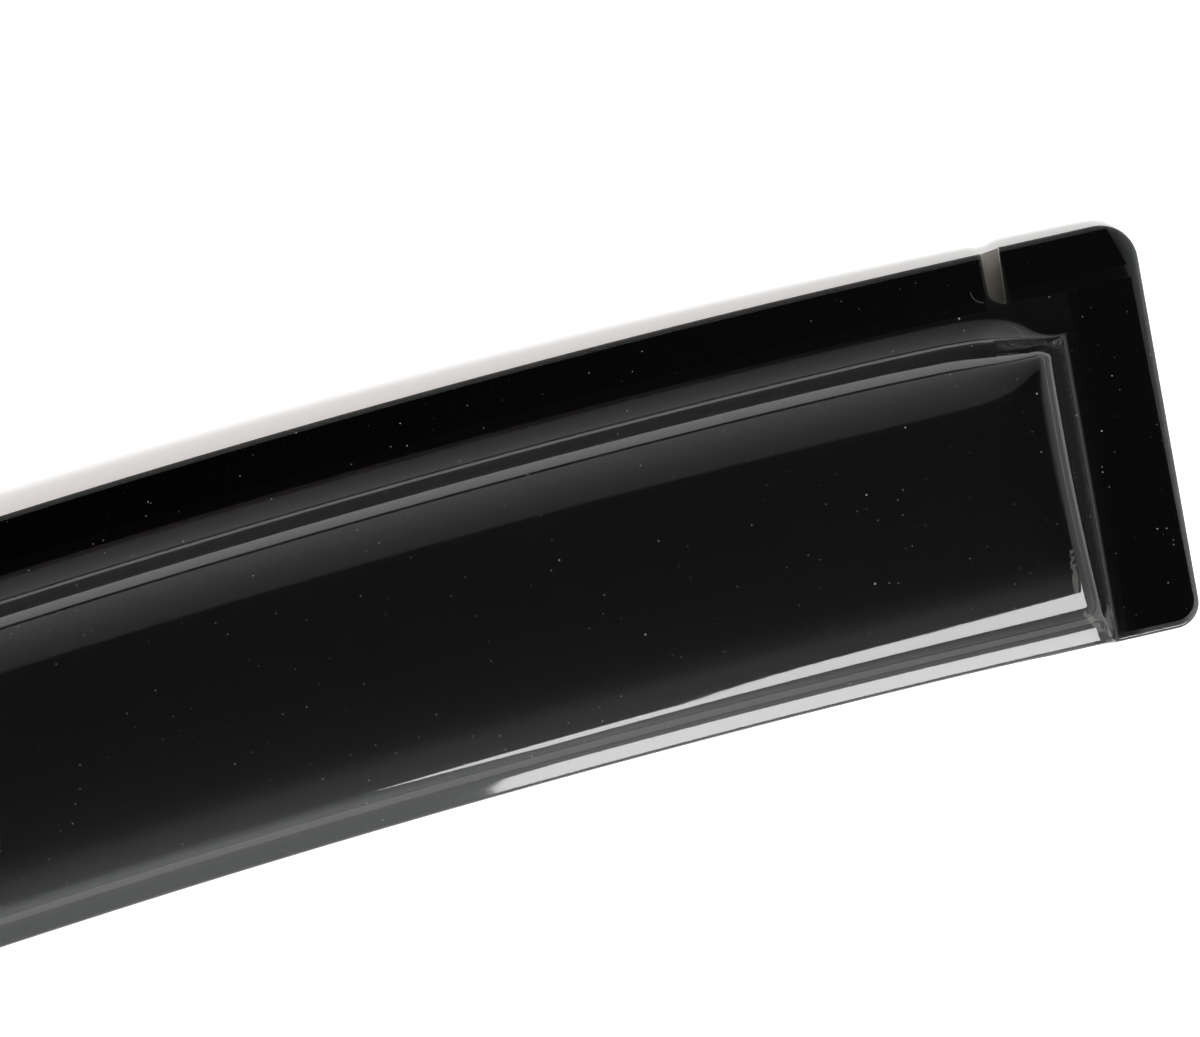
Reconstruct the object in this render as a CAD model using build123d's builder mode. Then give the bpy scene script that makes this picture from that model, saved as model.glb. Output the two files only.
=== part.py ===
from build123d import *
from math import atan2, cos, degrees, hypot, radians, sin, tan
import os

# Overall size (mm, degrees)
overall_length = 700.0      # along the flange edge, from end to end
overall_width = 102.0       # from the flange edge to the lip edge
wall = 2.5                  # thickness of the moulded sheet
arch_radius = 3100.0        # bow of the flange edge, seen in plan
barrel_radius = 7500.0      # rise of the middle above the two ends
edge_radius = 0.8           # rounding of the flange and tab edges

# Cross section, from the flange edge to the lip edge
flange_width = 15.2         # flat band that is stuck to the window frame
foot_angle = 12.0           # slope at the foot of the dome
foot_radius = 12.7          # hollow bend from the foot into the riser
riser_angle = 50.0          # slope of the riser
riser_run = 5.1             # straight length of the riser
crest_inside_radius = 21.5  # bend from the riser into the panel
crest_angle = 2.0           # slope of the panel where it begins
panel_fall = 17.0           # slope of the panel where it ends
lip_inside_radius = 2.5     # bend from the panel into the lip
lip_angle = 55.0            # slope of the lip's short drop
lip_run = 1.5               # straight length of that drop
flare_radius = 4.0          # hollow bend from the drop into the flare
flare_angle = 24.0          # slope of the flare
flare_width = 3.6           # plan width of the straight flare

# Ends: a flat tab, and a steep wall that closes the dome
tab_width = 22.0            # from the end edge to the foot of the end wall
tab_step = 0.6              # the tab's edge stands this far outside the flange edge
end_skew = 4.0              # turn of the end edge away from square
end_wall_angle = 78.0       # slope of the end wall
end_inside_radius = 2.5     # bend over the top of the end wall
root_radius = 7.0           # hollow bend round the foot of the dome
back_radius = 2.0           # rounding of the same bend on the back
flange_corner_radius = 10.0
lip_corner_radius = 6.0

# Relief slot between the flange and the tab, with a thin web left at its back
slot_offset = 36.5          # from the end edge to the middle of the slot's mouth
slot_web = 0.8              # sheet left under the slot
slot_mouth = 4.8
slot_tip_width = 4.0
slot_depth = 14.0           # to the far corner of its slanted blind end
slot_slant = 2.4            # how much shallower the near corner is
slot_tip_radius = 1.0

# Foam tape and its release liner on the back of the flange and the tabs
tape_thickness = 1.0
liner_thickness = 0.2
tape_gap = 0.4              # bare sheet beside the slot
tape_margin = 1.2           # bare edge outside the tape along the flange
tape_width = 9.8
liner_overlap = 3.0         # liner that stands out past the tape's inner side
top_tape_setback = 6.4      # from the end edge to the tape along the tab's top
top_tape_slant = 2.7        # how much nearer its lower corner comes
side_tape_setback = 2.4     # bare edge outside the tape along the tab's end
side_tape_lean = 1.5        # how much of that edge is lost by its lip end
side_tape_width = 14.0
side_liner_overlap = 2.0
side_tape_stop = 2.0        # bare edge at the lip end of that tape
side_tape_corner = 5.0

# Working sizes of the forms that the shell is cut from
straight_margin = 16.0      # straight length beyond the foot of the end wall
form_floor = -20.0          # depth of the forms below the flange face
form_reach = 10.0           # how far a form runs past the shell's faces

# Derived sizes of the arch
half_length = overall_length / 2
end_turn = radians(end_skew)
skew_run = overall_width * tan(end_turn)
straight_run = tab_width + skew_run + straight_margin
bend_radius = 1 / hypot(1 / arch_radius, 1 / barrel_radius)
bend_tilt = atan2(1 / barrel_radius, 1 / arch_radius)
bend_angle = degrees((half_length - straight_run) / bend_radius)
bend_centre = Vector(0, -cos(bend_tilt), -sin(bend_tilt)) * bend_radius
bend_axis = Axis(bend_centre, (0, sin(bend_tilt), -cos(bend_tilt)))

# Section plane at mid length: x runs from the flange edge to the lip, y outwards
section_plane = Plane(origin=(0, 0, 0), x_dir=(0, -1, 0), z_dir=(-1, 0, 0))

# Tab plane, on the outer face where the arch ends: x runs to the end, y to the flange edge
tab_plane = Plane(
    origin=bend_centre - bend_centre.rotate(bend_axis, bend_angle),
    x_dir=Vector(1, 0, 0).rotate(bend_axis, bend_angle),
    z_dir=Vector(0, 0, 1).rotate(bend_axis, bend_angle),
)


def on_tab(across, along, height=0.0):
    """A direction in space from its parts along the tab plane's axes."""
    return tab_plane.from_local_coords((across, along, height)) - tab_plane.origin


# End frame on the tab's face: x square to the end edge, y along it, origin at its flange end
end_frame = Plane(
    origin=tab_plane.from_local_coords((straight_run, 0, 0)),
    x_dir=on_tab(cos(end_turn), -sin(end_turn)),
    z_dir=tab_plane.z_dir,
)

# Slot frame: the same directions, with its origin at the middle of the slot's mouth
slot_plane = Plane(
    origin=tab_plane.from_local_coords((straight_run - slot_offset, 0, 0)),
    x_dir=end_frame.x_dir,
    z_dir=tab_plane.z_dir,
)

# End wall plane: its foot runs beside the end edge and it leans in over the dome
lean = radians(end_wall_angle)
end_plane = Plane(
    origin=end_frame.from_local_coords((-tab_width, 0, 0)),
    x_dir=end_frame.y_dir,
    z_dir=end_frame.from_local_coords((sin(lean), 0, cos(lean))) - end_frame.origin,
)


def arc_run(radius, start_angle, end_angle):
    """Plan width of an arc between two slopes."""
    return radius * abs(sin(radians(end_angle)) - sin(radians(start_angle)))


# The panel takes up the width that the bends on both sides of it leave
panel_span = (
    overall_width
    - flange_width
    - arc_run(foot_radius, foot_angle, riser_angle)
    - riser_run * cos(radians(riser_angle))
    - arc_run(crest_inside_radius + wall, riser_angle, crest_angle)
    - arc_run(lip_inside_radius + wall, panel_fall, lip_angle)
    - lip_run * cos(radians(lip_angle))
    - arc_run(flare_radius, lip_angle, flare_angle)
    - flare_width
)
panel_radius = panel_span / (sin(radians(crest_angle)) + sin(radians(panel_fall)))


def dome_outline(inset, lip_reach):
    """Draw a dome form's section, its face moved in by inset and run past the lip edge."""
    slope = radians(foot_angle)
    foot = Vector(flange_width + inset * sin(slope), -inset * cos(slope))
    toe = foot - Vector(cos(slope), sin(slope)) * form_reach
    toe_line = Line(toe, foot)
    foot_bend = JernArc(foot, toe_line % 1, foot_radius + inset, riser_angle - foot_angle)
    riser = PolarLine(foot_bend @ 1, riser_run, riser_angle)
    crest_radius = crest_inside_radius + wall - inset
    crest = JernArc(riser @ 1, riser % 1, crest_radius, crest_angle - riser_angle)
    panel = JernArc(crest @ 1, crest % 1, panel_radius - inset, -panel_fall - crest_angle)
    lip_radius = lip_inside_radius + wall - inset
    lip = JernArc(panel @ 1, panel % 1, lip_radius, panel_fall - lip_angle)
    drop = PolarLine(lip @ 1, lip_run, -lip_angle)
    flare_bend = JernArc(drop @ 1, drop % 1, flare_radius + inset, lip_angle - flare_angle)
    flare_length = flare_width / cos(radians(flare_angle)) + lip_reach
    flare = PolarLine(flare_bend @ 1, flare_length, -flare_angle)
    edge = flare @ 1
    Polyline(edge, (edge.X, form_floor), (toe.X, form_floor), toe)


def follow_arch(run):
    """Carry the pending section round half of the arch, then straight on by run."""
    half = revolve(axis=bend_axis, revolution_arc=bend_angle)
    extrude(half.faces().sort_by(Axis.X)[-1], amount=run)


def close_end(plane, radius):
    """Cut a dome form at its end plane and round the edge over the top of the wall."""
    form = split(bisect_by=plane, keep=Keep.BOTTOM)
    end_face = form.faces().filter_by(plane).sort_by(Axis.X)[-1]
    lip_side = end_face.edges().sort_by(Axis.Y)[0]
    floor_side = end_face.edges().sort_by(Axis.Z)[0]
    rim = [edge for edge in end_face.edges() if edge not in (lip_side, floor_side)]
    fillet(rim, radius)


# Outer face of the dome
with BuildPart() as dome_form:
    with BuildSketch(section_plane):
        with BuildLine():
            dome_outline(0, 0)
        make_face()
    follow_arch(straight_run)
    close_end(end_plane, end_inside_radius + wall)

# Hollow under the dome, open past the lip
with BuildPart() as hollow_form:
    with BuildSketch(section_plane):
        with BuildLine():
            dome_outline(wall, form_reach)
        make_face()
    follow_arch(straight_run)
    close_end(end_plane.offset(-wall), end_inside_radius)

# Everything below the middle of the sheet, to trim the outer form
with BuildPart() as under_form:
    with BuildSketch(section_plane):
        with Locations((overall_width / 2, -wall / 2)):
            Rectangle(3 * overall_width, -2 * form_floor, align=(Align.CENTER, Align.MAX))
    follow_arch(2 * straight_run)


def is_outline(point):
    """True for a point of the tab plane that lies on the tab's own outline."""
    on_flange_edge = point.Y > -edge_radius
    on_lip_edge = point.Y < edge_radius - overall_width
    on_end_edge = point.X > straight_run - skew_run
    return on_flange_edge or on_lip_edge or on_end_edge


def slot_outline(reach):
    """Draw the slot, from its slanted blind end to a line at reach past the flange edge."""
    mouth = slot_mouth / 2
    tip = slot_tip_width / 2
    spread = (mouth - tip) / slot_depth * reach
    Polyline(
        (-mouth - spread, reach),
        (-tip, slot_slant - slot_depth),
        (tip, -slot_depth),
        (mouth + spread, reach),
        close=True,
    )


# Moulded deflector: flange, dome, lip and end tabs in one sheet
with BuildPart() as deflector_shell:
    with BuildSketch(section_plane):
        Rectangle(overall_width, wall, align=(Align.MIN, Align.MAX))
    revolve(axis=bend_axis, revolution_arc=bend_angle)
    with BuildSketch(tab_plane) as tab:
        with BuildLine():
            Polyline(
                (0, 0),
                (straight_run - slot_offset, 0),
                (straight_run - slot_offset, tab_step),
                (straight_run + tab_step * tan(end_turn), tab_step),
                (straight_run - skew_run, -overall_width),
                (0, -overall_width),
                close=True,
            )
        make_face()
        fillet(tab.vertices().sort_by(Axis.X)[-1], flange_corner_radius)
        fillet(tab.vertices().group_by(Axis.Y)[0].sort_by(Axis.X)[-1], lip_corner_radius)
    extrude(amount=-wall)
    add(dome_form.part - under_form.part)
    root_edge = deflector_shell.edges(Select.NEW).sort_by(SortBy.LENGTH)[-1]
    fillet(root_edge, root_radius)
    add(hollow_form.part, mode=Mode.SUBTRACT)
    back_edges = deflector_shell.edges(Select.NEW).filter_by(GeomType.LINE)
    fillet(back_edges.sort_by(SortBy.LENGTH)[-1], back_radius)
    with BuildSketch(slot_plane) as slot:
        with BuildLine():
            slot_outline(form_reach)
        make_face()
        fillet(slot.vertices().sort_by(Axis.Y)[:2], slot_tip_radius)
    extrude(amount=form_reach, both=True, mode=Mode.SUBTRACT)
    tab_faces = deflector_shell.faces().filter_by(tab_plane).sort_by(SortBy.AREA)[-2:]
    outline_edges = [
        edge
        for edge in tab_faces.edges().filter_by(GeomType.LINE)
        if is_outline(tab_plane.to_local_coords(edge @ 0.5))
    ]
    fillet(outline_edges, edge_radius)
    with BuildSketch(slot_plane.offset(-wall)) as web:
        with BuildLine():
            slot_outline(0)
        make_face()
        fillet(web.vertices().sort_by(Axis.Y)[:2], slot_tip_radius)
    extrude(amount=slot_web)
    mirror(about=Plane.YZ)


# The tapes lie on the back of the sheet, and each liner lies on its tape
tape_top = -wall
liner_top = tape_top - tape_thickness
slot_side = Plane(
    origin=slot_plane.from_local_coords((-slot_mouth / 2 - tape_gap, 0, 0)),
    z_dir=slot_plane.x_dir,
)


def tab_top_outline(overlap):
    """Strip along the tab's flange edge, from the slot to a slanted end."""
    outer = tab_step - tape_margin
    inner = outer - tape_width - overlap
    start = straight_run - slot_offset + slot_mouth / 2 + tape_gap
    tip = straight_run - top_tape_setback
    Polyline(
        (start, outer),
        (tip, outer),
        (tip + top_tape_slant, inner),
        (start, inner),
        close=True,
    )


def end_point(from_edge, below_flange):
    """End frame point at a distance from the end edge, level with a depth below the flange edge."""
    return (-from_edge, -(below_flange + from_edge * sin(end_turn)) / cos(end_turn))


def tab_side_outline(overlap):
    """Strip along the tab's end edge, from under the top strip to the lip."""
    start = tape_margin - tab_step + tape_width + liner_overlap + tape_gap
    stop = overall_width - side_tape_stop
    inner = side_tape_setback + side_tape_width + overlap
    Polyline(
        end_point(side_tape_setback, start),
        end_point(side_tape_setback - side_tape_lean, stop),
        end_point(inner, stop),
        end_point(inner, start),
        close=True,
    )


# Foam tape and liner along the flange, from slot to slot
with BuildPart() as flange_tape:
    with BuildSketch(section_plane):
        with Locations((tape_margin, tape_top)):
            Rectangle(tape_width, tape_thickness, align=(Align.MIN, Align.MAX))
    follow_arch(straight_run)
    split(bisect_by=slot_side, keep=Keep.BOTTOM)
    mirror(about=Plane.YZ)

with BuildPart() as flange_liner:
    with BuildSketch(section_plane):
        with Locations((tape_margin, liner_top)):
            Rectangle(tape_width + liner_overlap, liner_thickness, align=(Align.MIN, Align.MAX))
    follow_arch(straight_run)
    split(bisect_by=slot_side, keep=Keep.BOTTOM)
    mirror(about=Plane.YZ)

# Foam tape and liner along the top of the right tab
with BuildPart() as top_tape:
    with BuildSketch(tab_plane.offset(tape_top)):
        with BuildLine():
            tab_top_outline(0)
        make_face()
    extrude(amount=-tape_thickness)

with BuildPart() as top_liner:
    with BuildSketch(tab_plane.offset(liner_top)):
        with BuildLine():
            tab_top_outline(liner_overlap)
        make_face()
    extrude(amount=-liner_thickness)

# Foam tape and liner along the end of the right tab
with BuildPart() as side_tape:
    with BuildSketch(end_frame.offset(tape_top)) as side_strip:
        with BuildLine():
            tab_side_outline(0)
        make_face()
        fillet(side_strip.vertices().sort_by(Axis.Y)[:2].sort_by(Axis.X)[-1], side_tape_corner)
    extrude(amount=-tape_thickness)

with BuildPart() as side_liner:
    with BuildSketch(end_frame.offset(liner_top)) as side_strip:
        with BuildLine():
            tab_side_outline(side_liner_overlap)
        make_face()
        fillet(side_strip.vertices().sort_by(Axis.Y)[:2].sort_by(Axis.X)[-1], side_tape_corner)
    extrude(amount=-liner_thickness)

pieces = {
    "deflector_shell": deflector_shell.part,
    "flange_tape": flange_tape.part,
    "flange_liner": flange_liner.part,
}
tab_strips = {
    "top_tape": top_tape,
    "top_liner": top_liner,
    "side_tape": side_tape,
    "side_liner": side_liner,
}
for strip_name, strip in tab_strips.items():
    with BuildPart() as left_strip:
        mirror(strip.part, about=Plane.YZ)
    pieces["right_" + strip_name] = strip.part
    pieces["left_" + strip_name] = left_strip.part

# The deflector lies on its liners, with the middle of its footprint at the origin
shell_box = deflector_shell.part.bounding_box()
floor = side_liner.part.bounding_box().min.Z
rest = Location((0, -shell_box.center().Y, -floor))

os.makedirs("parts", exist_ok=True)
for name, piece in pieces.items():
    placed = piece.moved(rest)
    placed.label = name
    export_step(placed, f"parts/{name}.step")
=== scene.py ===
from functools import reduce
from math import cos, hypot, pi, radians, sin, tan
from types import SimpleNamespace

import bpy
import numpy as np
from bpy.props import FloatProperty, FloatVectorProperty, PointerProperty
from mathutils import Matrix, Quaternion, Vector


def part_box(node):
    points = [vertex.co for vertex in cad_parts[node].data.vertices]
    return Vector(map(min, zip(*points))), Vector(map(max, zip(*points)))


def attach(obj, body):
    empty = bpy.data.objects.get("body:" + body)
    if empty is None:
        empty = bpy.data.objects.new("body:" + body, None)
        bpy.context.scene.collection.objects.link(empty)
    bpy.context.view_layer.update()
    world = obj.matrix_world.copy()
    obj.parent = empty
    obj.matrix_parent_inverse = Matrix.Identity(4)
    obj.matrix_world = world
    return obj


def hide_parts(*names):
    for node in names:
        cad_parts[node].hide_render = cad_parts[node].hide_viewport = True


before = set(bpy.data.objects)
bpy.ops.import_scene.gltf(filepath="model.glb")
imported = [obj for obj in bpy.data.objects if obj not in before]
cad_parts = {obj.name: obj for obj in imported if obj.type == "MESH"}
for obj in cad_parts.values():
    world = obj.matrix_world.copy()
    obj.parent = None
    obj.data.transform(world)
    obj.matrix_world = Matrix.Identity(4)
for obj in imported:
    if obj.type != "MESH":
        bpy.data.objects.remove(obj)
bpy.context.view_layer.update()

bl_info = {
    "name": "Window rain deflector",
    "version": (1, 0, 0),
    "blender": (4, 5, 0),
    "location": "3D View > Sidebar > Deflector",
    "description": "Forms a smoked acrylic window deflector and sets it on a pale floor",
    "category": "Object",
}

MM = 0.001

# A very small distance, which is also half the thickness of a hair on the acrylic
HAIR = 0.05 * MM

# Distances from the end edge between which the sheet's columns come to lean with that edge
LEAN_START, LEAN_FULL = 150 * MM, 52 * MM

# Half the width of the narrow band of rows over the crease between flange and foot
CREASE_BAND = 0.75 * MM

# Degrees of turn at which the rounded edges of outer face and back have a ring of points
FRONT_TURNS = (0, 22.5, 45, 67.5, 90)
BACK_TURNS = (0, 45, 90)

# Level rim that a face keeps beside its rounded edge
LEVEL_RIM = 0.1 * MM

# Least cosine of half a turn of the outline that a corner is drawn out for
MITRE_LIMIT = 0.7

# How far into a slot the rounding of the flange edge reaches
SLOT_MOUTH_ROUND = 0.5 * MM

# How far the formed sheet's size may be from the solid's
SIZE_TOLERANCE = 2 * MM

# Where the sheet's tint is painted darker round the foot of an end wall, a painted shade, in mm
# inside that foot
ROOT_BAND = (-7.5, -5.0, 4.8, 6.5)

# How far in from an end edge the sheet's tint is painted lighter, painted light from that edge, in
# mm
RIM_BAND = (3.0, 4.5)

# Noise in the acrylic and the film: scale per metre and detail
RIPPLE = (45.0, 2.0)
GRAIN = (900.0, 4.0)
WAVES = (120.0, 3.0)

# Cells of the foam per metre
FOAM_CELLS = 3500.0

# Dust: cells per metre, radius of the largest speck and share of the cells that hold one
DUST = ((480.0, 0.16 * MM, 0.95), (210.0, 0.24 * MM, 0.6))

# Hairs: centre of the curl, middle of the hair and radius of the curl
HAIRS = (
    ((0.3105, 0.0215), (0.3133, 0.0227), 3.0 * MM),
    ((0.3080, 0.0352), (0.3054, 0.0335), 3.1 * MM),
)

# How far a hair reaches to both sides of its middle
HAIR_REACH = 2.2 * MM

# Smears of adhesive: one end, the other end and half the width
SMEARS = (
    ((0.3056, -0.0345), (0.3030, -0.0482), 0.8 * MM),
    ((0.3035, -0.0493), (0.3076, -0.0553), 1.2 * MM),
    ((0.3114, -0.0482), (0.3086, -0.0577), 1.0 * MM),
)

# How ragged the smears are, and the level at which their mask ends
SMEAR_RAGGEDNESS, SMEAR_EDGE = 4.0, 0.3

# How far dust, hairs and smears cover the acrylic
DUST_COVER, HAIR_COVER, SMEAR_COVER = 0.55, 0.2, 0.1

# Tones of the surroundings against the height of a direction: floor level 0, overhead 1
SKY = (
    (0.0, (0.06, 0.06, 0.06)),
    (0.06, (0.06, 0.06, 0.06)),
    (0.075, (0.95, 0.95, 0.94)),
    (0.4, (0.75, 0.75, 0.74)),
    (0.8, (0.41, 0.41, 0.41)),
    (0.865, (0.35, 0.35, 0.35)),
    (0.885, (0.05, 0.05, 0.05)),
    (1.0, (0.02, 0.02, 0.02)),
)

# Glow of the surroundings past the lip and past the photographed end: start, width and strength
LIP_GLOW = (0.29, 0.12, 0.4)
END_GLOW = (0.3, 0.12, 0.4)

# How much the surroundings brighten all the way towards that end
END_SLOPE = 0.2

# Softbox: place, aim and sizes in metres, and the radiance that a mirror would show
SOFTBOX = {
    "place": (0.66, -1.396, 1.73),
    "aim": (0.22, -0.05, 0.0),
    "roll": radians(-9),
    "wide": 1.0,
    "high": 0.84,
    "radiance": 13.5,
}

# Floor: half its side, and how far it lies below the part
FLOOR_REACH = 3.0
FLOOR_DROP = 0.1 * MM


def length(name, millimetres, description):
    """A size in the sidebar, written here in millimetres."""
    return FloatProperty(
        name=name, description=description, default=millimetres * MM, unit="LENGTH", precision=5
    )


def angle(name, degrees, description):
    """A slope in the sidebar, written here in degrees."""
    return FloatProperty(
        name=name, description=description, default=radians(degrees), subtype="ANGLE"
    )


def fraction(name, value, description):
    """A plain number between nothing and one."""
    return FloatProperty(
        name=name, description=description, default=value, min=0.0, max=1.0, subtype="FACTOR"
    )


def strength(name, value, description):
    """A plain number in the sidebar."""
    return FloatProperty(name=name, description=description, default=value)


def colour(name, value, description):
    """A colour in the sidebar."""
    return FloatVectorProperty(
        name=name, description=description, default=value, size=3, subtype="COLOR"
    )


class FormSizes(bpy.types.PropertyGroup):
    """Sizes of the form that the flat sheet is pressed into."""

    length: length("Length", 700, "Along the flange edge, from end to end")
    width: length("Width", 102, "From the flange edge to the lip edge")
    arch_radius: length("Arch radius", 3100, "Bow of the flange edge, seen in plan")
    barrel_radius: length("Barrel radius", 7500, "Rise of the middle above the two ends")
    flange_width: length("Flange width", 15.2, "Flat band that is stuck to the window frame")
    foot_angle: angle("Foot angle", 12, "Slope at the foot of the dome")
    foot_radius: length("Foot radius", 12.7, "Hollow bend from the foot into the riser")
    riser_angle: angle("Riser angle", 50, "Slope of the riser")
    riser_run: length("Riser run", 5.1, "Straight length of the riser")
    crest_radius: length("Crest radius", 24, "Outer bend from the riser into the panel")
    crest_angle: angle("Crest angle", 2, "Slope of the panel where it begins")
    panel_fall: angle("Panel fall", 17, "Slope of the panel where it ends")
    lip_radius: length("Lip radius", 5, "Outer bend from the panel into the lip")
    lip_angle: angle("Lip angle", 55, "Slope of the lip's short drop")
    lip_run: length("Lip run", 1.5, "Straight length of that drop")
    flare_radius: length("Flare radius", 4, "Hollow bend from the drop into the flare")
    flare_angle: angle("Flare angle", 24, "Slope of the flare")
    flare_width: length("Flare width", 3.6, "Plan width of the straight flare")
    tab_width: length("Tab width", 22, "From the end edge to the foot of the end wall")
    end_skew: angle("End skew", 4, "Turn of the end edge away from square")
    end_wall_angle: angle("End wall angle", 67.5, "Slope of the end wall")
    end_radius: length("End radius", 5, "Outer bend over the top of the end wall")
    soft_rise: length("Soft rise", 1, "Height of the dome below which that bend goes soft")
    full_rise: length("Full rise", 8, "Height of the dome above which that bend is full")
    crease_radius: length("Crease radius", 7, "Softening of the crease between flange and foot")
    root_radius: length("Root radius", 1.3, "Hollow bend at the foot of the end wall")
    sweep_width: length("Sweep width", 6, "Gentle rise of the tab towards that bend")
    sweep_angle: angle("Sweep angle", 3, "Slope where that rise ends")
    pinch: strength("Pinch", 3.6, "How hard the bends draw together in the flange corners")
    pinch_across: length("Pinch across", 27.5, "From the flange edge to where they meet")
    pinch_width: length("Pinch width", 8, "How far across the pinch acts")
    pinch_reach: length("Pinch reach", 14, "How far from the end wall the pinch acts")
    ease_radius: length("Ease radius", 3.6, "How much the lip radius grows in the lip corners")
    ease_angle: angle("Ease angle", 5, "How much the lip angle lessens there")
    ease_reach: length("Ease reach", 130, "How far from the end wall the lip bend opens")
    wall: length("Wall", 2.4, "Thickness of the sheet, a hair less than the solid's")
    straight_margin: length("Straight margin", 16, "Straight length beyond the end wall's foot")


class SheetSizes(bpy.types.PropertyGroup):
    """Sizes of the flat sheet: its edges, its corners and its two slots."""

    edge_radius: length("Edge radius", 0.8, "Rounding along the outline of the outer face")
    slot_edge: length("Slot edge", 0.3, "Rounding along the slots and the outline of the back")
    tab_step: length("Tab step", 0.6, "How far a tab's edge stands outside the flange edge")
    flange_corner: length("Flange corner", 10, "Corner radius on the flange side")
    lip_corner: length("Lip corner", 6, "Corner radius on the lip side")
    slot_offset: length("Slot offset", 36.5, "From the end edge to the middle of the slot")
    slot_mouth: length("Slot mouth", 4.8, "Width of the slot at the flange edge")
    slot_tip: length("Slot tip", 4.0, "Width of the slot at its blind end")
    slot_depth: length("Slot depth", 14, "To the far corner of the slanted blind end")
    slot_slant: length("Slot slant", 2.4, "How much shallower the near corner is")
    slot_corner: length("Slot corner", 1.0, "Rounding of the blind end's corners")
    slot_web: length("Slot web", 0.8, "Sheet left under the slot")
    web_edge: length("Web edge", 0.05, "Rounding along the web")


class Finish(bpy.types.PropertyGroup):
    """Colours and surface of the acrylic, the foam and the release film."""

    smoke: colour("Smoke", (0.044, 0.0475, 0.0458), "Light that the acrylic lets through")
    web: colour("Web", (0.30, 0.29, 0.265), "Light that the thin web in a slot lets through")
    # Painted shade: a darker tint at the foot of each end wall, where the floor behind lies in
    # shade
    root: colour("Root", (0.014, 0.015, 0.0145), "Light let through at the foot of an end wall")
    # Painted light: a lighter tint in a band along the end edges
    rim: colour("Rim", (0.075, 0.08, 0.077), "Light let through along the end edges")
    gloss: fraction("Roughness", 0.03, "Roughness of the polished acrylic")
    dust: colour("Dust", (0.62, 0.60, 0.57), "Dust that lies on the acrylic")
    foam: colour("Foam", (0.012, 0.012, 0.013), "Closed cell foam of the tape")
    film: colour("Film", (0.7, 0.38, 0.385), "Release film of the tape")


class Studio(bpy.types.PropertyGroup):
    """Camera and floor."""

    azimuth: angle("Azimuth", -108.833, "Side that the camera stands on")
    elevation: angle("Elevation", 82, "Height of the camera above the horizon")
    distance: length("Distance", 1500, "From the camera to what it looks at")
    lens: FloatProperty(
        name="Lens",
        description="Focal length in millimetres",
        default=183.09,
        subtype="DISTANCE_CAMERA",
    )
    aim_along: length("Aim along", 199.54, "Point that the camera looks at, along the part")
    aim_across: length("Aim across", 11.1, "Point that the camera looks at, across the part")
    aim_height: length("Aim height", 10, "Point that the camera looks at, above the floor")
    floor: colour("Floor", (0.9, 0.9, 0.9), "Light that the floor gives back")
    floor_seen: colour("Floor seen", (1.6, 1.6, 1.58), "The floor as the camera sees it")


class Term:
    """A node socket in an expression: each operator adds its node to the socket's tree."""

    def __init__(self, socket):
        self.socket = socket
        self.tree = socket.id_data

    @staticmethod
    def node(tree, kind, settings=None, sockets=None):
        """Add a node: its settings first, then the values or links of its sockets."""
        made = tree.nodes.new(kind)
        for name, value in (settings or {}).items():
            if name == "stops":
                ramp = made.color_ramp
                while len(ramp.elements) < len(value):
                    ramp.elements.new(0.5)
                for element, (position, tone) in zip(ramp.elements, value):
                    element.position = position
                    element.color = (*tone, 1.0)
            else:
                setattr(made, name, value)
        for name, value in (sockets or {}).items():
            if isinstance(value, Term):
                tree.links.new(value.socket, made.inputs[name])
            else:
                made.inputs[name].default_value = value
        return made

    def math(self, operation, *others):
        """One Math node with this socket as its first value."""
        return self.operated(operation, (self, *others))

    def flipped(self, operation, other):
        """One Math node with this socket as its second value."""
        return self.operated(operation, (other, self))

    def operated(self, operation, values):
        """One Math node of these values, in this socket's tree."""
        settings, sockets = {"operation": operation}, dict(enumerate(values))
        return Term(Term.node(self.tree, "ShaderNodeMath", settings, sockets).outputs[0])

    def __add__(self, other):
        return self.math("ADD", other)

    __radd__ = __add__

    def __sub__(self, other):
        return self.math("SUBTRACT", other)

    def __rsub__(self, other):
        return self.flipped("SUBTRACT", other)

    def __mul__(self, other):
        return self.math("MULTIPLY", other)

    __rmul__ = __mul__

    def __truediv__(self, other):
        return self.math("DIVIDE", other)

    def __rtruediv__(self, other):
        return self.flipped("DIVIDE", other)

    def __neg__(self):
        return self.math("MULTIPLY", -1.0)

    def __abs__(self):
        return self.math("ABSOLUTE")

    def __pow__(self, other):
        return self.math("POWER", other)

    def sin(self):
        return self.math("SINE")

    def cos(self):
        return self.math("COSINE")

    def tan(self):
        return self.math("TANGENT")

    def sqrt(self):
        return self.math("SQRT")

    def sign(self):
        return self.math("SIGN")

    def least(self, other):
        return self.math("MINIMUM", other)

    def most(self, other):
        return self.math("MAXIMUM", other)

    def within(self, low, high):
        return self.most(low).least(high)

    def over(self, edge):
        return self.math("GREATER_THAN", edge)

    def rising(self, start, width):
        """From nothing at a start to one a width further on."""
        return ((self - start) / width).within(0.0, 1.0)


def bend_width(radius, start, end):
    """Plan width of a bend between two slopes; a bend that turns down has a negative radius."""
    return radius * (end.sin() - start.sin())


def fading(pull, beyond, reach):
    """A pull that fades with the distance beyond the end wall."""
    far = beyond / reach
    return pull / (far * far + 1.0) ** 2.0


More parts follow.
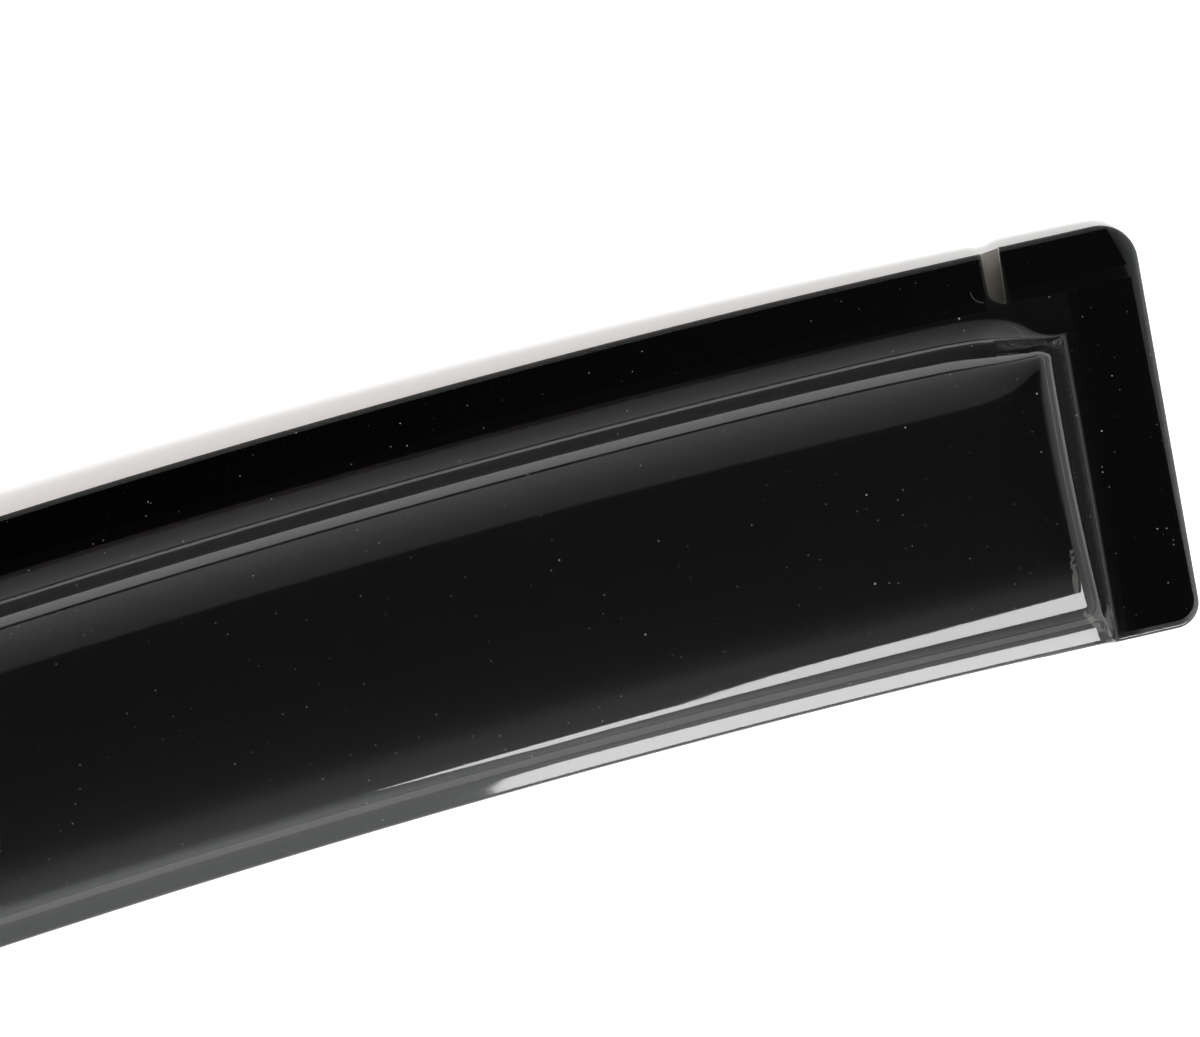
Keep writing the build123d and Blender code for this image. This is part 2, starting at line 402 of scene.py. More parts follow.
def dome_stretches(size, beyond):
    """Slope, radius and plan width of the section's stretches, from the flange edge to the lip."""
    foot, riser, crest = size.foot_angle, size.riser_angle, size.crest_angle
    fall, flare = -size.panel_fall, -size.flare_angle
    drop = fading(size.ease_angle, beyond, size.ease_reach) - size.lip_angle
    crest_radius = -size.crest_radius
    lip_radius = -size.lip_radius - fading(size.ease_radius, beyond, size.ease_reach)
    before = [
        (foot, None, size.flange_width),
        (foot, size.foot_radius, bend_width(size.foot_radius, foot, riser)),
        (riser, None, size.riser_run * riser.cos()),
        (riser, crest_radius, bend_width(crest_radius, riser, crest)),
    ]
    after = [
        (fall, lip_radius, bend_width(lip_radius, fall, drop)),
        (drop, None, size.lip_run * drop.cos()),
        (drop, size.flare_radius, bend_width(size.flare_radius, drop, flare)),
        (flare, None, size.flare_width),
    ]
    panel_width = size.width
    for _, _, width in before + after:
        panel_width = panel_width - width
    panel_radius = panel_width / (fall.sin() - crest.sin())
    return before + [(crest, panel_radius, panel_width)] + after


def run_height(place, stretches):
    """Height gained along a row of stretches, from its start to a place."""
    height = 0.0
    start = None
    for slope, radius, width in stretches:
        into = (place if start is None else place - start).within(0.0, width)
        if radius is None:
            height = height + into * slope.tan()
        else:
            turned = slope.sin() + into / radius
            height = height + radius * (slope.cos() - (1.0 - turned * turned).sqrt())
        start = width if start is None else start + width
    return height


def sloped(height_at, place):
    """Height at a place and the slope there, taken between points a hair to both sides."""
    before, after = height_at(place - HAIR), height_at(place + HAIR)
    return (before + after) * 0.5, (after - before) / (2 * HAIR)


def cosine(slope):
    """Cosine of the angle of a slope."""
    return 1.0 / (slope * slope + 1.0).sqrt()


def rounded(gap, near, far, radius, turn):
    """Depth below a first face where a second one, gap above it, cuts it off in a rounded corner.

    near and far are the cosines of the two faces' slopes, and turn that of the angle between them.
    """
    edge = radius * (1.0 - turn)
    lowest = -edge / near
    reach = edge - far * gap.within(lowest, edge / far)
    spread = near * near + far * far
    middle = near * edge + far * reach
    inside = (middle * middle - spread * reach * reach).most(0.0).sqrt()
    return (middle - inside) / spread + (lowest - gap).most(0.0)


def drawn_in(across, pull, middle, width):
    """How much further on in its section a place lies, when a pull draws it in to a middle."""
    off = across - middle
    near = off / width
    return pull * off / (near * near + 1.0) ** 1.5


def dome_on_flange(across, beyond, size, stretches):
    """Height of the dome and of the flange it stands on, a distance beyond the end wall."""
    pinch = fading(size.pinch, beyond, size.pinch_reach)
    place = across + drawn_in(across, pinch, size.pinch_across, size.pinch_width)
    dome = run_height(place, stretches) - size.flange_width * size.foot_angle.tan()
    foot = size.foot_angle.cos()
    return rounded(-dome, 1.0, foot, size.crease_radius, foot)


def end_wall(inside, depth, size):
    """Height of the end wall at a depth in the sheet: a sweep, a hollow bend, then the wall."""
    sweep, steep = size.sweep_angle, size.end_wall_angle
    hollow = bend_width(size.root_radius, sweep, steep)
    gained = size.sweep_width * sweep.tan() * 0.5 + size.root_radius * (sweep.cos() - steep.cos())
    foot = size.tab_width + depth * (steep * 0.5).tan() + gained / steep.tan() - hollow
    into = (inside - foot + size.sweep_width).within(0.0, size.sweep_width)
    risen = into * into * sweep.tan() / (2.0 * size.sweep_width)
    stretches = [(sweep, size.root_radius, hollow), (steep, None, size.length)]
    return risen + run_height(inside - foot, stretches)


def diagonal(dome, wall):
    """Square root of the sum of two heights' squares, never nothing."""
    return (dome * dome + wall * wall + HAIR * HAIR).sqrt()


def cut_off(dome, dome_lean, wall, wall_lean, radius, size):
    """Height of a dome that a wall cuts off: in a round edge, but softly where the dome is low."""
    high = dome - rounded(wall - dome, dome_lean, wall_lean, radius, dome_lean * wall_lean)
    low = dome * wall / diagonal(dome, wall)
    share = dome.least(wall).rising(size.soft_rise, size.full_rise - size.soft_rise)
    return low + (high - low) * (share * share * (3.0 - 2.0 * share))


def form_tree():
    """Node tree that presses a flat sheet, lying along and across, into the deflector's form."""
    tree = bpy.data.node_groups.new("deflector_form", "GeometryNodeTree")
    tree.interface.new_socket("Geometry", in_out="INPUT", socket_type="NodeSocketGeometry")
    tree.interface.new_socket("Geometry", in_out="OUTPUT", socket_type="NodeSocketGeometry")
    labels = {key: prop.keywords["name"] for key, prop in FormSizes.__annotations__.items()}
    for label in labels.values():
        tree.interface.new_socket(label, in_out="INPUT", socket_type="NodeSocketFloat")
    tree.interface.new_socket("Material", in_out="INPUT", socket_type="NodeSocketMaterial")
    entry = Term.node(tree, "NodeGroupInput")
    size = SimpleNamespace(**{key: Term(entry.outputs[label]) for key, label in labels.items()})

    position = Term(Term.node(tree, "GeometryNodeInputPosition").outputs[0])
    parts = Term.node(tree, "ShaderNodeSeparateXYZ", None, {0: position})
    along, across = Term(parts.outputs["X"]), Term(parts.outputs["Y"])
    depth = -Term(parts.outputs["Z"])
    distance = abs(along)

    # The dome's section, whose bends draw together or open towards the corners
    inside = (size.length * 0.5 - distance) * size.end_skew.cos() - across * size.end_skew.sin()
    beyond = (inside - size.tab_width).most(0.0)
    stretches = dome_stretches(size, beyond)
    dome, slope = sloped(lambda place: dome_on_flange(place, beyond, size, stretches), across)
    wall, wall_slope = sloped(lambda place: end_wall(place, depth, size), inside)

    # The sheet's depth is taken square to the dome, as far as the end wall leaves the dome
    lean = cosine(slope)
    dome = dome + depth * (1.0 - lean)
    share = (wall / diagonal(dome, wall)) ** 3.0
    dome = (dome - (1.0 - share) * depth * lean * slope * slope).most(0.0)
    radius = size.end_radius - depth
    height = cut_off(dome, lean, wall, cosine(wall_slope), radius, size) - depth
    across = across + share * depth * lean * slope

    # The arch leans with the barrel, and runs on straight at both ends
    bends = 1.0 / size.arch_radius ** 2.0 + 1.0 / size.barrel_radius ** 2.0
    bend_radius = 1.0 / bends.sqrt()
    tilt_cos = bend_radius / size.arch_radius
    tilt_sin = bend_radius / size.barrel_radius
    straight = size.tab_width + size.width * size.end_skew.tan() + size.straight_margin
    arc = size.length * 0.5 - straight
    turn = distance.least(arc) / bend_radius
    onward = (distance - arc).most(0.0)
    outward = height * tilt_sin - across * tilt_cos
    upward = across * tilt_sin + height * tilt_cos
    half_turn = (turn * 0.5).sin()
    sagged = 2.0 * bend_radius * half_turn * half_turn
    inward = outward * turn.cos() - onward * turn.sin() - sagged
    formed = Term.node(
        tree,
        "ShaderNodeCombineXYZ",
        None,
        {
            "X": along.sign() * ((bend_radius + outward) * turn.sin() + onward * turn.cos()),
            "Y": inward * tilt_cos - upward * tilt_sin,
            "Z": inward * tilt_sin + upward * tilt_cos,
        },
    )
    flow = Term(entry.outputs["Geometry"])
    steps = (
        ("GeometryNodeSetPosition", {"Position": Term(formed.outputs[0])}),
        ("GeometryNodeSetShadeSmooth", {}),
        ("GeometryNodeRealizeInstances", {}),
        ("GeometryNodeSetMaterial", {"Material": Term(entry.outputs["Material"])}),
    )
    for kind, sockets in steps:
        flow = Term(Term.node(tree, kind, None, {"Geometry": flow, **sockets}).outputs["Geometry"])
    Term.node(tree, "NodeGroupOutput", None, {"Geometry": flow})
    return tree


def grid_lines(*stops):
    """Lines through the stops; each but the last comes with its count of steps to the next."""
    lines = [stops[-1]]
    afters = [stop[0] for stop in stops[1:-1]] + [stops[-1]]
    for (start, count), after in zip(stops[:-1], afters):
        lines.extend(start + (after - start) * step / count for step in range(count))
    return sorted(lines)


def quarter_disc(first, second):
    """Move points of the unit square so that its far corner becomes a quarter of a disc."""
    radius = np.maximum(first, second)
    turn = np.pi / 4 * np.minimum(first, second) / np.maximum(radius, 1e-9)
    near, far = radius * np.cos(turn), radius * np.sin(turn)
    return np.where(first >= second, near, far), np.where(first >= second, far, near)


def sheet_grid(form, sheet):
    """Points and faces of the flat outer face: x along it, y across it from the flange edge."""
    half = form.length / 2
    foot = half - form.tab_width / cos(form.end_skew)
    slot = half - sheet.slot_offset
    mouth = sheet.slot_mouth / 2
    tip_row = sheet.slot_depth - sheet.slot_slant / 2
    lean_start = half - LEAN_START
    lean_full = half - LEAN_FULL

    # Columns from the middle to the right end, closest over the end wall
    right = np.array(
        grid_lines(
            (0.0, 36),
            (lean_full, 6),
            (slot - mouth - 4 * MM, 4),
            (slot - mouth, 3),
            (slot - mouth + sheet.slot_corner, 3),
            (slot + mouth - sheet.slot_corner, 3),
            (slot + mouth, 3),
            (slot + mouth + 3 * MM, 2),
            (foot - 9 * MM, 62),
            (foot + 6.2 * MM, 4),
            (half - sheet.flange_corner, 3),
            (half - sheet.lip_corner, 5),
            half,
        )
    )

    # Rows from the flange edge to the lip edge, closest over the dome's foot and the lip's bends
    flange = form.flange_width
    row = np.array(
        grid_lines(
            (0.0, 7),
            (sheet.flange_corner - sheet.tab_step, 2),
            (tip_row - sheet.slot_corner, 3),
            (tip_row, 2),
            (flange - CREASE_BAND, 3),
            (flange + CREASE_BAND, 9),
            (flange + 5.0 * MM, 44),
            (flange + 20.0 * MM, 12),
            (flange + 28.0 * MM, 24),
            (form.width - 9.3 * MM, 3),
            (form.width - 8.75 * MM, 14),
            (form.width - 6.1 * MM, 3),
            (form.width - 5.25 * MM, 9),
            (form.width - 3.6 * MM, 3),
            form.width,
        )
    )
    start = np.concatenate([-right[:0:-1], right])
    reach, across = np.meshgrid(np.abs(start), row, indexing="ij")
    side = np.sign(start)[:, None]

    # Beside the tabs the columns lean with the end edge
    lean = np.clip((reach - lean_start) / (lean_full - lean_start), 0, 1)
    lean = lean * lean * (3 - 2 * lean)

    # The slot narrows, the corners of its blind end are round, and that end slants
    tiny = 0.01 * MM
    in_slot = np.abs(reach - slot) < mouth + tiny
    on_side = in_slot & (across < tip_row + tiny)
    narrow = (sheet.slot_mouth - sheet.slot_tip) / 2
    from_middle = np.clip((reach - slot) / mouth, -1, 1)
    shift = np.where(on_side, -from_middle * narrow * across / tip_row, 0)
    down = (across - tip_row) / sheet.slot_corner + 1
    for turn in (-1, 1):
        ahead = (turn * (reach + shift - slot) - sheet.slot_tip / 2) / sheet.slot_corner + 1
        corner = on_side & (ahead > 0) & (down > 0)
        new_ahead, new_down = quarter_disc(np.clip(ahead, 0, 1), np.clip(down, 0, 1))
        shift = shift + np.where(corner, turn * (new_ahead - ahead) * sheet.slot_corner, 0)
        across = across + np.where(corner, (new_down - down) * sheet.slot_corner, 0)
    reach = reach + shift
    below = flange + CREASE_BAND - tip_row
    slant = np.minimum(across / tip_row, np.clip(1 - (across - tip_row) / below, 0, 1))
    offset = np.clip((reach - slot) / (sheet.slot_tip / 2), -1, 1)
    across = across + np.where(in_slot, offset * slant * sheet.slot_slant / 2, 0)

    # The tabs stand out past the flange edge, and their corners are round
    stand = sheet.tab_step * np.clip(1 - across / sheet.flange_corner, 0, 1)
    across = across - stand * np.clip((reach - slot + mouth) / sheet.slot_mouth, 0, 1)
    for radius, edge, way in (
        (sheet.flange_corner, -sheet.tab_step, -1),
        (sheet.lip_corner, form.width, 1),
    ):
        first = (reach - half) / radius + 1
        second = way * (across - edge) / radius + 1
        corner = (first > 0) & (second > 0)
        new_first, new_second = quarter_disc(np.clip(first, 0, 1), np.clip(second, 0, 1))
        reach = reach + np.where(corner, (new_first - first) * radius, 0)
        across = across + np.where(corner, way * (new_second - second) * radius, 0)
    along = side * (reach - lean * across * tan(form.end_skew))

    number = np.arange(along.size).reshape(along.shape)
    corners = [number[:-1, :-1], number[:-1, 1:], number[1:, 1:], number[1:, :-1]]
    faces = np.stack(corners, axis=-1)
    middle = np.abs((start[:-1] + start[1:]) / 2)
    slot_columns = np.abs(middle - slot) < mouth
    slot_rows = row[1:] < tip_row + tiny
    in_web = slot_columns[:, None] & slot_rows[None, :]
    right_side = (start[:-1] + start[1:] > 0)[:, None]
    webs = [faces[in_web & right_side], faces[in_web & ~right_side]]
    points = np.stack([along.ravel(), across.ravel()], axis=1)
    beside_slot = on_side & (across > SLOT_MOUTH_ROUND)
    return points, faces[~in_web], webs, beside_slot.ravel()


def outline_loop(faces):
    """Vertices round the outline, in the order that the faces run."""
    starts, ends = faces.ravel(), np.roll(faces, -1, axis=1).ravel()
    sides = set(zip(starts.tolist(), ends.tolist()))
    onward = {first: second for first, second in sides if (second, first) not in sides}
    loop = [min(onward)]
    while onward[loop[-1]] != loop[0]:
        loop.append(onward[loop[-1]])
    return loop


def slab(points, faces, front, back, front_edge, back_edge, inset):
    """Vertices and faces of a closed slab between two depths, with edges rounded all round."""
    used, numbered = np.unique(faces, return_inverse=True)
    faces = numbered.reshape(faces.shape)
    points, front_edge = points[used], front_edge[used]
    loop = outline_loop(faces)
    here = points[loop]
    first = here - np.roll(here, 1, axis=0)
    second = np.roll(here, -1, axis=0) - here
    first /= np.linalg.norm(first, axis=1, keepdims=True)
    second /= np.linalg.norm(second, axis=1, keepdims=True)
    ahead = first + second
    ahead /= np.linalg.norm(ahead, axis=1, keepdims=True)
    outward = np.stack([-ahead[:, 1], ahead[:, 0]], axis=1)
    outward /= np.maximum((ahead * first).sum(axis=1), MITRE_LIMIT)[:, None]
    here = here - outward * inset

    round_edge = front_edge[loop]
    level = np.ones(len(loop))
    rings = [
        (round_edge * (1 - np.sin(turn)), front + round_edge * (1 - np.cos(turn)))
        for turn in np.radians(FRONT_TURNS)
    ]
    rings += [
        (back_edge * (1 - np.cos(turn)) * level, (back - back_edge * (1 - np.sin(turn))) * level)
        for turn in np.radians(BACK_TURNS)
    ]
    count = len(points)
    top = np.column_stack([points, np.full(count, -front)])
    top[loop, :2] = here - outward * (round_edge + LEVEL_RIM)[:, None]
    under = np.column_stack([points, np.full(count, -back)])
    under[loop, :2] = here - outward * (back_edge + LEVEL_RIM)
    rim = [np.column_stack([here - outward * drawn[:, None], -depth]) for drawn, depth in rings]

    lines = [np.array(loop)]
    lines += [2 * count + len(loop) * step + np.arange(len(loop)) for step in range(len(rim))]
    lines += [np.array(loop) + count]
    sides = [
        np.stack([np.roll(upper, -1), upper, lower, np.roll(lower, -1)], axis=1)
        for upper, lower in zip(lines, lines[1:])
    ]
    vertices = np.concatenate([top, under, *rim])
    return vertices, np.concatenate([faces, faces[:, ::-1] + count, *sides])


def mark_tints(mesh, form, vertices, first_of_webs):
    """Mark where the tint differs: painted shade at the end walls' feet, painted light at the end
    edges, and the webs.
    """
    from_end = form.length / 2 - np.abs(vertices[:, 0])
    inside = from_end * cos(form.end_skew) - vertices[:, 1] * sin(form.end_skew)
    dome_side = (form.pinch_across - form.pinch_width, form.pinch_across)
    # Painted shade: the tint darkens in a band round the foot of each end wall, on the dome side
    thick = np.interp(inside - form.tab_width, np.array(ROOT_BAND) * MM, (0, 1, 1, 0))
    thick *= np.interp(vertices[:, 1], dome_side, (0, 1))
    # Painted light: the tint grows lighter towards each end edge
    rim = np.interp(inside, np.array(RIM_BAND) * MM, (1, 0))
    thin = np.arange(len(vertices)) >= first_of_webs
    for name, values in (("thick", thick), ("rim", rim), ("thin", thin)):
        attribute = mesh.attributes.new(name, "FLOAT", "POINT")
        attribute.data.foreach_set("value", values.astype(np.float32))


def flat_sheet(form, sheet):
    """Flat mesh of the sheet and of the webs in its slots: outer face at z 0, back below it."""
    points, faces, webs, beside_slot = sheet_grid(form, sheet)
    sheet_edge = np.where(beside_slot, sheet.slot_edge, sheet.edge_radius)
    web_edge = np.full(len(points), sheet.web_edge)
    web_front = form.wall - sheet.slot_web
    slabs = [slab(points, faces, 0.0, form.wall, sheet_edge, sheet.slot_edge, 0.0)]
    slabs += [
        slab(points, web, web_front, form.wall, web_edge, sheet.web_edge, sheet.web_edge)
        for web in webs
    ]
    counts = [len(vertices) for vertices, _ in slabs]
    firsts = np.cumsum([0, *counts[:-1]])
    vertices = np.concatenate([vertices for vertices, _ in slabs])
    mesh = bpy.data.meshes.new("deflector_shell_form")
    mesh.from_pydata(
        vertices.tolist(),
        [],
        np.concatenate([sides + first for (_, sides), first in zip(slabs, firsts)]).tolist(),
    )
    mark_tints(mesh, form, vertices, counts[0])
    return mesh


def blank_material(name):
    """A material with an empty node tree."""
    material = bpy.data.materials.new(name)
    material.use_nodes = True
    material.node_tree.nodes.clear()
    return material, material.node_tree


def object_place(tree):
    """Where a point lies in its object."""
    return Term(Term.node(tree, "ShaderNodeTexCoord").outputs["Object"])


def surfaced(tree, shader):
    """Make a shader the surface of its material."""
    sockets = {"Surface": Term(shader.outputs[0])}
    Term.node(tree, "ShaderNodeOutputMaterial", None, sockets)


def scaled(tone, factor):
    """A colour made lighter or darker."""
    return tuple(factor * part for part in tone)


def mixed(tree, factor, first, second):
    """A colour between two colours."""
    ends = [tone if isinstance(tone, Term) else (*tone, 1.0) for tone in (first, second)]
    sockets = {0: factor, 6: ends[0], 7: ends[1]}
    return Term(Term.node(tree, "ShaderNodeMix", {"data_type": "RGBA"}, sockets).outputs[2])


def noise(tree, place, scale, detail):
    """Soft noise between nothing and one, with a scale per metre."""
    sockets = {"Vector": place, "Scale": scale, "Detail": detail}
    return Term(Term.node(tree, "ShaderNodeTexNoise", None, sockets).outputs["Fac"])


def specks(tree, place, scale, radius, kept):
    """Mask of round specks: cells per metre, largest radius and share of cells that hold one."""
    sockets = {"Vector": place, "Scale": scale}
    cells = Term.node(tree, "ShaderNodeTexVoronoi", {"feature": "F1"}, sockets)
    drawn = Term.node(tree, "ShaderNodeSeparateColor", None, {0: Term(cells.outputs["Color"])})
    chance = Term(drawn.outputs[0])
    size = (1.0 - chance / kept) * (radius * scale)
    return (size - Term(cells.outputs["Distance"])).over(0.0)


def hair(x, y, centre, middle, radius):
    """Mask of a fine hair: the part near its middle of a circle round a centre."""
    from_centre = ((x - centre[0]) ** 2.0 + (y - centre[1]) ** 2.0).sqrt()
    from_middle = ((x - middle[0]) ** 2.0 + (y - middle[1]) ** 2.0).sqrt()
    return (HAIR - abs(from_centre - radius)).over(0.0) * (HAIR_REACH - from_middle).over(0.0)


def smear(x, y, grain, start, end, wide):
    """Mask of a ragged smear from one point to another."""
    middle = [(first + second) / 2 for first, second in zip(start, end)]
    half = [(second - first) / 2 for first, second in zip(start, end)]
    long = hypot(*half)
    right, up = x - middle[0], y - middle[1]
    along = (right * half[0] + up * half[1]) / (long * long)
    across = (right * half[1] - up * half[0]) / (long * wide)
    ragged = (grain - 0.5) * SMEAR_RAGGEDNESS
    return (1.0 - across * across - along * along + ragged).over(SMEAR_EDGE)


def acrylic(finish):
    """Polished smoked acrylic with dust specks, two hairs and three smears of adhesive on it."""
    material, tree = blank_material("smoked_acrylic")
    place = object_place(tree)
    parts = Term.node(tree, "ShaderNodeSeparateXYZ", None, {0: place})
    x, y = Term(parts.outputs["X"]), Term(parts.outputs["Y"])
    tint = finish.smoke
    # The tint is painted darker at the end walls' feet (painted shade) and lighter along the end
    # edges (painted light); the webs are lighter because they are thin
    for name, tone in (("thick", finish.root), ("rim", finish.rim), ("thin", finish.web)):
        marked = Term.node(tree, "ShaderNodeAttribute", {"attribute_name": name})
        tint = mixed(tree, Term(marked.outputs["Fac"]), tint, tone)
    ripple = noise(tree, place, *RIPPLE)
    grain = noise(tree, place, *GRAIN)
    glass = Term.node(
        tree,
        "ShaderNodeBsdfPrincipled",
        None,
        {
            "Base Color": tint,
            "Roughness": finish.gloss * (0.6 + 0.8 * ripple),
            "IOR": 1.49,
            "Transmission Weight": 1.0,
        },
    )
    dust = Term.node(
        tree,
        "ShaderNodeBsdfPrincipled",
        None,
        {
            "Base Color": mixed(tree, grain, finish.dust, scaled(finish.dust, 0.7)),
            "Roughness": 0.9,
        },
    )
    dots = reduce(Term.most, [specks(tree, place, *kind) for kind in DUST])
    hairs = reduce(Term.most, [hair(x, y, *shape) for shape in HAIRS])
    smears = reduce(Term.most, [smear(x, y, grain, *shape) for shape in SMEARS])
    cover = (dots * DUST_COVER).most(hairs * HAIR_COVER).most(smears * SMEAR_COVER)
    surface = Term.node(
        tree,
        "ShaderNodeMixShader",
        None,
        {0: cover, 1: Term(glass.outputs[0]), 2: Term(dust.outputs[0])},
    )
    surfaced(tree, surface)
    return material


def foam(finish):
    """Matt black foam with fine cells, with painted shade in each cell's hollow."""
    material, tree = blank_material("foam_tape")
    place = object_place(tree)
    sockets = {"Vector": place, "Scale": FOAM_CELLS}
    cells = Term.node(tree, "ShaderNodeTexVoronoi", {"feature": "F1"}, sockets)
    depth = Term(cells.outputs["Distance"])
    # Painted shade: each cell is darker in its hollow middle and lighter towards its walls,
    # following the bump's height
    tone = mixed(tree, depth.within(0.0, 1.0), finish.foam, scaled(finish.foam, 2.2))
    sockets = {"Strength": 0.4, "Distance": 0.2 * MM, "Height": depth}
    bump = Term.node(tree, "ShaderNodeBump", None, sockets)
    surface = Term.node(
        tree,
        "ShaderNodeBsdfPrincipled",
        None,
        {
            "Base Color": tone,
            "Roughness": 0.9,
            "Normal": Term(bump.outputs[0]),
        },
    )
    surfaced(tree, surface)
    return material


def film(finish):
    """Smooth reddish release film with faint waves."""
    material, tree = blank_material("liner_film")
    place = object_place(tree)
    wave = noise(tree, place, *WAVES)
    tone = mixed(tree, wave, scaled(finish.film, 0.8), scaled(finish.film, 1.15))
    sockets = {"Strength": 0.25, "Distance": 1.0 * MM, "Height": wave}
    bump = Term.node(tree, "ShaderNodeBump", None, sockets)
    surface = Term.node(
        tree,
        "ShaderNodeBsdfPrincipled",
        None,
        {
            "Base Color": tone,
            "Roughness": 0.25 + 0.12 * wave,
            "Normal": Term(bump.outputs[0]),
        },
    )
    surfaced(tree, surface)
    return material


class DEFLECTOR_OT_shell(bpy.types.Operator):
    """Press the flat sheet into the deflector's form, and put it where the solid lies"""

    bl_idname = "deflector.shell"
    bl_label = "Form the shell"

    def execute(self, context):
        form = context.scene.deflector_form
        sheet = context.scene.deflector_sheet
        material = acrylic(context.scene.deflector_finish)
        shell = bpy.data.objects.new("deflector_shell_form", flat_sheet(form, sheet))
        context.scene.collection.objects.link(shell)
        pressed = shell.modifiers.new("form", "NODES")
        pressed.node_group = form_tree()
        by_name = {item.name: item.identifier for item in pressed.node_group.interface.items_tree}
        for key, prop in FormSizes.__annotations__.items():
            pressed[by_name[prop.keywords["name"]]] = getattr(form, key)
        pressed[by_name["Material"]] = material
        depsgraph = context.evaluated_depsgraph_get()
        mesh = bpy.data.meshes.new_from_object(shell.evaluated_get(depsgraph), depsgraph=depsgraph)
        shell.modifiers.clear()
        blank = shell.data
        shell.data = mesh
        bpy.data.meshes.remove(blank)

        low, high = (Vector(corner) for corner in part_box("deflector_shell"))
        points = np.array([vertex.co for vertex in mesh.vertices])
        made_low, made_high = Vector(points.min(axis=0)), Vector(points.max(axis=0))
        if ((high - low) - (made_high - made_low)).length > SIZE_TOLERANCE:
            made, solid = made_high - made_low, high - low
            raise RuntimeError(f"The formed sheet and the solid differ in size: {made} {solid}")
        shift = (low + high) / 2 - (made_low + made_high) / 2
        shift.z = high.z - made_high.z
        mesh.transform(Matrix.Translation(shift))
        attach(shell, "root")
        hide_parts("deflector_shell")
        return {"FINISHED"}


def dress(nodes, material):
    """Give CAD nodes a material in every slot."""
    for name in nodes:
        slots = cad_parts[name].material_slots
        if not slots:
            raise RuntimeError(f"{name} has no material slot")
        for slot in slots:
            slot.material = material


class DEFLECTOR_OT_tapes(bpy.types.Operator):
    """Finish the foam tapes on the back of the flange and the tabs"""

    bl_idname = "deflector.tapes"
    bl_label = "Finish the tapes"

    def execute(self, context):
        tapes = [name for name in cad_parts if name.endswith("_tape")]
        dress(tapes, foam(context.scene.deflector_finish))
        return {"FINISHED"}


class DEFLECTOR_OT_liners(bpy.types.Operator):
    """Finish the release films that cover the tapes"""

    bl_idname = "deflector.liners"
    bl_label = "Finish the liners"

    def execute(self, context):
        liners = [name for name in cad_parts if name.endswith("_liner")]
        dress(liners, film(context.scene.deflector_finish))
        return {"FINISHED"}


def studio_world(scene):
    """Surroundings pale near the horizon, dark overhead and brighter past the lip and one end."""
    world = bpy.data.worlds.new("studio")
    scene.world = world
    world.use_nodes = True
    tree = world.node_tree
    tree.nodes.clear()
    toward = Term(Term.node(tree, "ShaderNodeTexCoord").outputs["Generated"])
    parts = Term.node(tree, "ShaderNodeSeparateXYZ", None, {0: toward})
    ahead, side, height = (Term(parts.outputs[axis]) for axis in "XYZ")
    tones = Term.node(tree, "ShaderNodeValToRGB", {"stops": SKY}, {"Fac": height})
    start, width, power = LIP_GLOW
    glow = power * (-side).rising(start, width) ** 3.0
    start, width, power = END_GLOW
    glow = glow + END_SLOPE * ahead.most(0.0) + power * ahead.rising(start, width)
    channels = dict.fromkeys(("Red", "Green", "Blue"), glow)
    tone = Term.node(tree, "ShaderNodeCombineColor", None, channels)
    sky = Term.node(
        tree,
        "ShaderNodeMix",
        {"data_type": "RGBA", "blend_type": "ADD"},
        {0: 1.0, 6: Term(tones.outputs[0]), 7: Term(tone.outputs[0])},
    )
    sockets = {"Color": Term(sky.outputs[2]), "Strength": 1.0}
    back = Term.node(tree, "ShaderNodeBackground", None, sockets)
    Term.node(tree, "ShaderNodeOutputWorld", None, {"Surface": Term(back.outputs[0])})


def floor_material(studio):
    """Floor that looks white, also in the acrylic, and keeps the part's shadow."""
    material, tree = blank_material("studio_floor")
    path = Term.node(tree, "ShaderNodeLightPath")
    seen = Term(path.outputs["Is Camera Ray"])
    for kind in ("Is Glossy Ray", "Is Transmission Ray"):
        seen = seen.most(Term(path.outputs[kind]))
    tone = mixed(tree, seen, studio.floor, studio.floor_seen)
    matt = Term.node(tree, "ShaderNodeBsdfDiffuse", None, {"Color": tone})
    surfaced(tree, matt)
    return material


def soft_lamp(scene, name, place, aim, roll, wide, high, radiance):
    """A softbox that hangs at a place and faces an aim; its radiance is what a mirror shows."""
    light = bpy.data.lights.new(name, "AREA")
    light.shape = "RECTANGLE"
    light.size = wide
    light.size_y = high
    light.energy = radiance * wide * high * pi
    lamp = bpy.data.objects.new(name, light)
    lamp.location = place
    facing = (Vector(place) - Vector(aim)).to_track_quat("Z", "Y")
    lamp.rotation_euler = (facing @ Quaternion((0.0, 0.0, 1.0), roll)).to_euler()
    lamp.visible_camera = False
    scene.collection.objects.link(lamp)


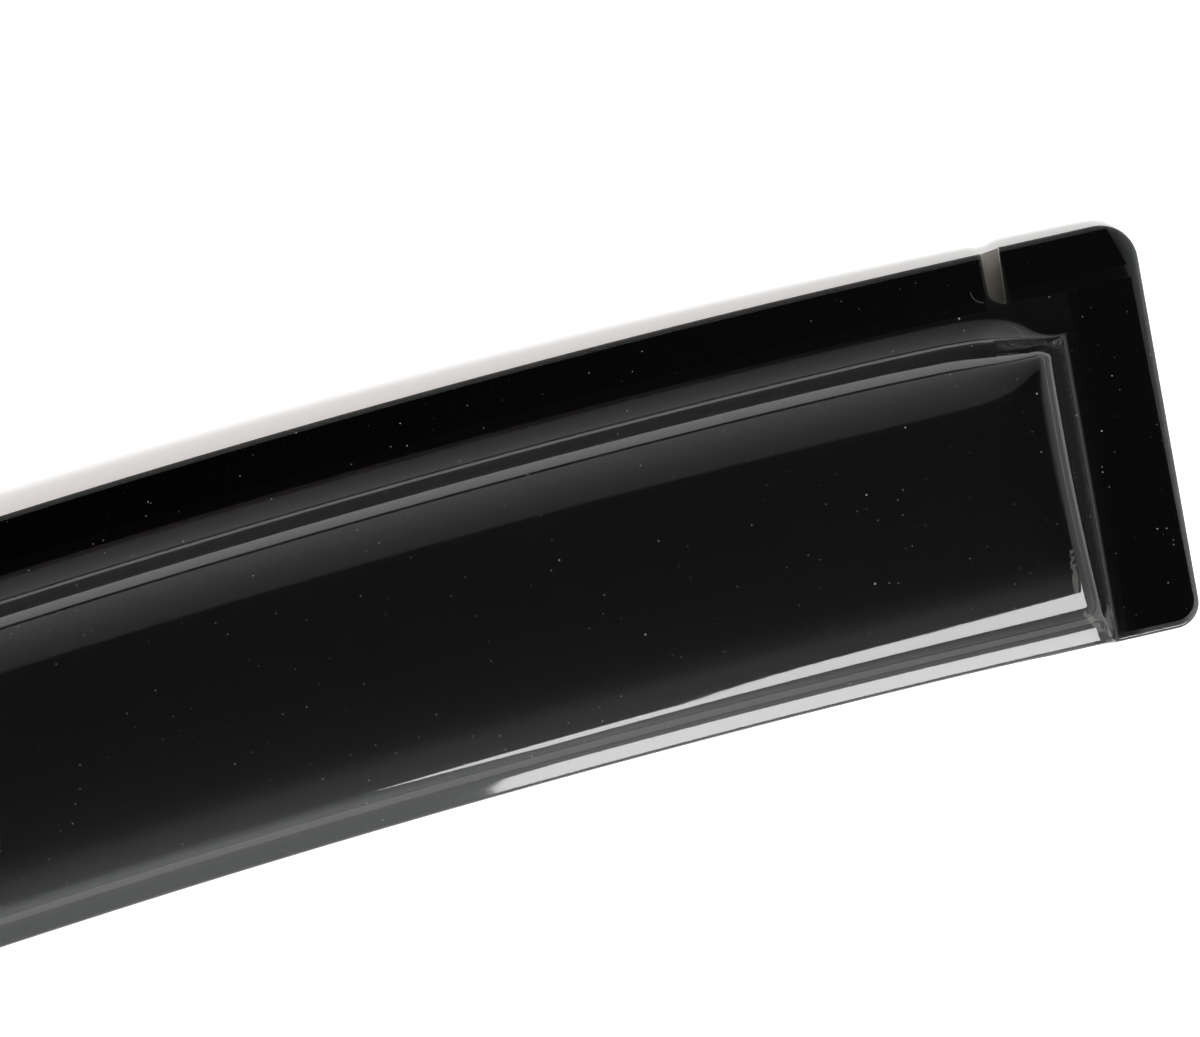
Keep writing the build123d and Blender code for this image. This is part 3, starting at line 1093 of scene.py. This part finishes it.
class DEFLECTOR_OT_stage(bpy.types.Operator):
    """Set the floor, the surroundings, the lamp and the camera"""

    bl_idname = "deflector.stage"
    bl_label = "Set the stage"

    def execute(self, context):
        scene = context.scene
        studio = scene.deflector_studio
        around = ((-1, -1), (1, -1), (1, 1), (-1, 1))
        corners = [(x * FLOOR_REACH, y * FLOOR_REACH, -FLOOR_DROP) for x, y in around]
        mesh = bpy.data.meshes.new("studio_floor")
        mesh.from_pydata(corners, [], [(0, 1, 2, 3)])
        floor = bpy.data.objects.new("studio_floor", mesh)
        floor.data.materials.append(floor_material(studio))
        scene.collection.objects.link(floor)
        studio_world(scene)
        soft_lamp(scene, "key_softbox", **SOFTBOX)

        camera = bpy.data.cameras.new("photo_view")
        camera.lens = studio.lens
        camera.sensor_width = 36.0
        camera.sensor_fit = "HORIZONTAL"
        camera.clip_end = 50.0
        view = bpy.data.objects.new("photo_view", camera)
        level, azimuth = cos(studio.elevation), studio.azimuth
        back = Vector((level * cos(azimuth), level * sin(azimuth), sin(studio.elevation)))
        aim = Vector((studio.aim_along, studio.aim_across, studio.aim_height))
        view.location = aim + back * studio.distance
        view.rotation_euler = back.to_track_quat("Z", "Y").to_euler()
        scene.collection.objects.link(view)
        scene.camera = view
        scene.view_settings.view_transform = "Standard"
        return {"FINISHED"}


class DEFLECTOR_PT_sidebar(bpy.types.Panel):
    """Sizes, finishes and steps of the deflector"""

    bl_idname = "DEFLECTOR_PT_sidebar"
    bl_label = "Rain deflector"
    bl_space_type = "VIEW_3D"
    bl_region_type = "UI"
    bl_category = "Deflector"

    def draw(self, context):
        for group in GROUPS:
            box = self.layout.box()
            for key in GROUPS[group].__annotations__:
                box.prop(getattr(context.scene, group), key)
        for step in STEPS:
            self.layout.operator(step.bl_idname)


GROUPS = {
    "deflector_form": FormSizes,
    "deflector_sheet": SheetSizes,
    "deflector_finish": Finish,
    "deflector_studio": Studio,
}
STEPS = (DEFLECTOR_OT_shell, DEFLECTOR_OT_tapes, DEFLECTOR_OT_liners, DEFLECTOR_OT_stage)
CLASSES = (*GROUPS.values(), *STEPS, DEFLECTOR_PT_sidebar)


def register():
    for item in CLASSES:
        bpy.utils.register_class(item)
    for name, group in GROUPS.items():
        setattr(bpy.types.Scene, name, PointerProperty(type=group))


def unregister():
    for name in GROUPS:
        delattr(bpy.types.Scene, name)
    for item in reversed(CLASSES):
        bpy.utils.unregister_class(item)


def main():
    register()
    bpy.ops.deflector.shell()
    bpy.ops.deflector.tapes()
    bpy.ops.deflector.liners()
    bpy.ops.deflector.stage()


if __name__ == "__main__":
    main()
